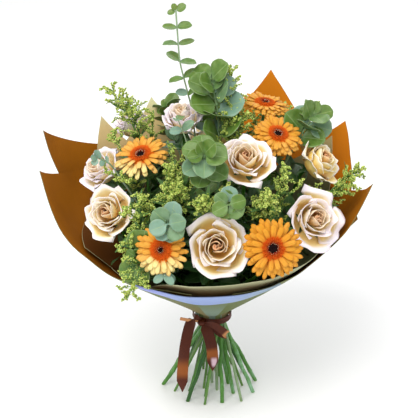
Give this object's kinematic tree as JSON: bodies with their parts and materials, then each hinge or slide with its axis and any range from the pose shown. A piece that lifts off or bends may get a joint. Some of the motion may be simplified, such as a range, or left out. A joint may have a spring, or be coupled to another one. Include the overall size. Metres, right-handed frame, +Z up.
{
  "type": "mixed flower bouquet",
  "caption": "Hand-tied bouquet of roses, gerberas, eucalyptus and goldenrod in layered paper with a satin ribbon, standing on its cut stems.",
  "frame": {"origin": "on the table, at the level-cut end of the stem that stands on the bouquet's axis", "axes": "+Z up along the bouquet's axis; the low front of the paper, with the ribbon's knot, faces -Y; +X is to the right seen from the front"},
  "size_m": [0.4243, 0.3348, 0.5081],
  "materials": {
    "rose_petal": "satin petal, cream to peach with an apricot heart",
    "gerbera_petal": "soft matt petal, yellow-orange",
    "gerbera_heart": "matt florets, orange-red round a dark eye",
    "green_stem": "waxy green stem",
    "eucalyptus_leaf": "waxy grey-green leaf",
    "solidago_bud": "matt lime-green buds",
    "kraft_paper": "two-sided wrapping paper, orange-brown inside and grey-green outside",
    "lining_paper": "pale cream-green tissue",
    "satin_ribbon": "glossy brown satin",
    "twine": "plain florist's twine"
  },
  "bodies": {
    "root": {"binding": "twine", "eucalyptus_1": "eucalyptus_leaf", "eucalyptus_2": "eucalyptus_leaf", "eucalyptus_3": "eucalyptus_leaf", "eucalyptus_4": "eucalyptus_leaf", "eucalyptus_5": "eucalyptus_leaf", "eucalyptus_6": "eucalyptus_leaf", "eucalyptus_7": "eucalyptus_leaf", "eucalyptus_8": "eucalyptus_leaf", "eucalyptus_9": "eucalyptus_leaf", "gerbera_1_heart": "gerbera_heart", "gerbera_1_rays": "gerbera_petal", "gerbera_1_stem": "green_stem", "gerbera_2_heart": "gerbera_heart", "gerbera_2_rays": "gerbera_petal", "gerbera_2_stem": "green_stem", "gerbera_3_heart": "gerbera_heart", "gerbera_3_rays": "gerbera_petal", "gerbera_3_stem": "green_stem", "gerbera_4_heart": "gerbera_heart", "gerbera_4_rays": "gerbera_petal", "gerbera_4_stem": "green_stem", "gerbera_5_heart": "gerbera_heart", "gerbera_5_rays": "gerbera_petal", "gerbera_5_stem": "green_stem", "lining": "lining_paper", "paper_back": "kraft_paper", "paper_front": "kraft_paper", "paper_left": "kraft_paper", "paper_left_back": "kraft_paper", "paper_right": "kraft_paper", "ribbon": "satin_ribbon", "rose_1_bloom": "rose_petal", "rose_1_stem": "green_stem", "rose_2_bloom": "rose_petal", "rose_2_stem": "green_stem", "rose_3_bloom": "rose_petal", "rose_3_stem": "green_stem", "rose_4_bloom": "rose_petal", "rose_4_stem": "green_stem", "rose_5_bloom": "rose_petal", "rose_5_stem": "green_stem", "rose_6_bloom": "rose_petal", "rose_6_stem": "green_stem", "rose_7_bloom": "rose_petal", "rose_7_stem": "green_stem", "rose_8_bloom": "rose_petal", "rose_8_stem": "green_stem", "rose_9_bloom": "rose_petal", "rose_9_stem": "green_stem", "solidago_1": "solidago_bud", "solidago_10": "solidago_bud", "solidago_2": "solidago_bud", "solidago_3": "solidago_bud", "solidago_4": "solidago_bud", "solidago_5": "solidago_bud", "solidago_6": "solidago_bud", "solidago_7": "solidago_bud", "solidago_8": "solidago_bud", "solidago_9": "solidago_bud"}
  },
  "joints": []
}
